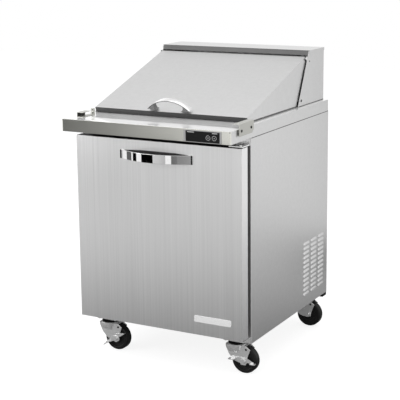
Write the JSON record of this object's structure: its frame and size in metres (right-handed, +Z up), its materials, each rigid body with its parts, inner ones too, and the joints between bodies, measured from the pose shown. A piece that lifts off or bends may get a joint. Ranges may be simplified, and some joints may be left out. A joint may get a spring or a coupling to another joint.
{
  "type": "sandwich prep table",
  "caption": "Refrigerated stainless prep table on casters, with a food pan well under a sloping lid and hood, a ledge in front and a single hinged door below.",
  "frame": {"origin": "on the floor, below the middle of the worktop", "axes": "+X to the right seen from the front, +Y to the back, +Z up"},
  "size_m": [0.713, 0.869, 1.1403],
  "materials": {
    "stainless": "satin",
    "worktop_steel": "satin",
    "door_steel": "satin",
    "inner_steel": "satin",
    "galvanised": "matte",
    "zinc": "satin",
    "chrome": "polished",
    "foam": "matte",
    "breaker_plastic": "satin",
    "gasket_rubber": "matte",
    "coated_wire": "satin",
    "bezel": "satin",
    "control_gloss": "gloss",
    "fin_aluminium": "satin",
    "black_enamel": "satin",
    "copper": "satin",
    "fan_plastic": "satin",
    "caster_tread": "satin"
  },
  "bodies": {
    "cabinet": {"side_panel_left": "stainless", "side_panel_right": "stainless", "back_panel": "galvanised", "rear_grille": "galvanised", "base_panel": "stainless", "front_breaker": "breaker_plastic", "cabinet_liner": "inner_steel", "cabinet_insulation": "foam", "shelf": "coated_wire", "shelf_clips": "breaker_plastic", "worktop": "worktop_steel", "worktop_core": "foam", "pans_front": "inner_steel", "pans_middle": "inner_steel", "pans_back": "inner_steel", "pan_bars": "inner_steel", "hood_housing": "stainless", "hood_cover": "stainless", "bracket_left": "zinc", "bracket_right": "zinc", "side_screws": "chrome", "hinge_top": "zinc", "hinge_bottom": "zinc", "control_bezel": "bezel", "control_panel": "control_gloss", "condenser_coil": "fin_aluminium", "condenser_shroud": "galvanised", "compressor": "black_enamel", "drain_pan": "inner_steel", "air_duct": "inner_steel", "evaporator_coil": "fin_aluminium", "fan_motors": "black_enamel", "refrigerant_lines": "copper", "cord_gland": "fan_plastic", "rear_bumpers": "gasket_rubber", "caster_plates": "zinc"},
    "lid": {"lid_shell": "stainless", "lid_hinge_pins": "chrome", "lid_liner": "inner_steel", "lid_handle": "chrome"},
    "door": {"door_shell": "door_steel", "door_insulation": "foam", "door_liner": "inner_steel", "door_gasket": "gasket_rubber", "door_badge": "bezel", "door_handle": "chrome"},
    "key_left": {"key_left": "control_gloss"},
    "key_right": {"key_right": "control_gloss"},
    "condenser_fan": {"condenser_fan": "fan_plastic"},
    "evaporator_fan": {"evaporator_fan": "fan_plastic"},
    "caster_front_left": {"fork_front_left": "zinc"},
    "wheel_front_left": {"wheel_front_left": "caster_tread"},
    "caster_front_right": {"fork_front_right": "zinc"},
    "wheel_front_right": {"wheel_front_right": "caster_tread"},
    "caster_back_left": {"fork_back_left": "zinc"},
    "wheel_back_left": {"wheel_back_left": "caster_tread"},
    "caster_back_right": {"fork_back_right": "zinc"},
    "wheel_back_right": {"wheel_back_right": "caster_tread"},
    "brake_front_left": {"brake_front_left": "zinc"},
    "brake_front_right": {"brake_front_right": "zinc"}
  },
  "joints": [
    {"name": "door_swing", "type": "hinge", "parent": "cabinet", "child": "door", "pos_m": [0.331, -0.324, 0.5], "axis": [0, 0, 1], "range_deg": [0, 110]},
    {"name": "lid_lift", "type": "hinge", "parent": "cabinet", "child": "lid", "pos_m": [0, 0.261, 1.1108], "axis": [-1, 0, 0], "range_deg": [0, 118]},
    {"name": "key_left_press", "type": "slide", "parent": "cabinet", "child": "key_left", "axis": [0, 1, 0], "range_m": [0, 0.001], "stiffness_N_per_m": 400, "springref_m": -0.0005},
    {"name": "key_right_press", "type": "slide", "parent": "cabinet", "child": "key_right", "axis": [0, 1, 0], "range_m": [0, 0.001], "stiffness_N_per_m": 400, "springref_m": -0.0005},
    {"name": "condenser_fan_spin", "type": "hinge", "parent": "cabinet", "child": "condenser_fan", "pos_m": [0.252, 0.3, 0.26], "axis": [1, 0, 0], "continuous": true},
    {"name": "evaporator_fan_spin", "type": "hinge", "parent": "cabinet", "child": "evaporator_fan", "pos_m": [0.15, 0.318, 0.7], "axis": [0, 1, 0], "continuous": true},
    {"name": "swivel_front_left", "type": "hinge", "parent": "cabinet", "child": "caster_front_left", "pos_m": [-0.277, -0.25, 0.1], "axis": [0, 0, 1], "continuous": true},
    {"name": "roll_front_left", "type": "hinge", "parent": "caster_front_left", "child": "wheel_front_left", "pos_m": [-0.241, -0.25, 0.0508], "axis": [0, 1, 0], "continuous": true},
    {"name": "swivel_front_right", "type": "hinge", "parent": "cabinet", "child": "caster_front_right", "pos_m": [0.277, -0.25, 0.1], "axis": [0, 0, 1], "continuous": true},
    {"name": "roll_front_right", "type": "hinge", "parent": "caster_front_right", "child": "wheel_front_right", "pos_m": [0.313, -0.25, 0.0508], "axis": [0, 1, 0], "continuous": true},
    {"name": "swivel_back_left", "type": "hinge", "parent": "cabinet", "child": "caster_back_left", "pos_m": [-0.277, 0.345, 0.1], "axis": [0, 0, 1], "continuous": true},
    {"name": "roll_back_left", "type": "hinge", "parent": "caster_back_left", "child": "wheel_back_left", "pos_m": [-0.241, 0.345, 0.0508], "axis": [0, 1, 0], "continuous": true},
    {"name": "swivel_back_right", "type": "hinge", "parent": "cabinet", "child": "caster_back_right", "pos_m": [0.277, 0.345, 0.1], "axis": [0, 0, 1], "continuous": true},
    {"name": "roll_back_right", "type": "hinge", "parent": "caster_back_right", "child": "wheel_back_right", "pos_m": [0.313, 0.345, 0.0508], "axis": [0, 1, 0], "continuous": true},
    {"name": "brake_front_left_tip", "type": "hinge", "parent": "caster_front_left", "child": "brake_front_left", "pos_m": [-0.241, -0.25, 0.0508], "axis": [0, 1, 0], "range_deg": [-20, 0]},
    {"name": "brake_front_right_tip", "type": "hinge", "parent": "caster_front_right", "child": "brake_front_right", "pos_m": [0.313, -0.25, 0.0508], "axis": [0, 1, 0], "range_deg": [0, 20]}
  ]
}
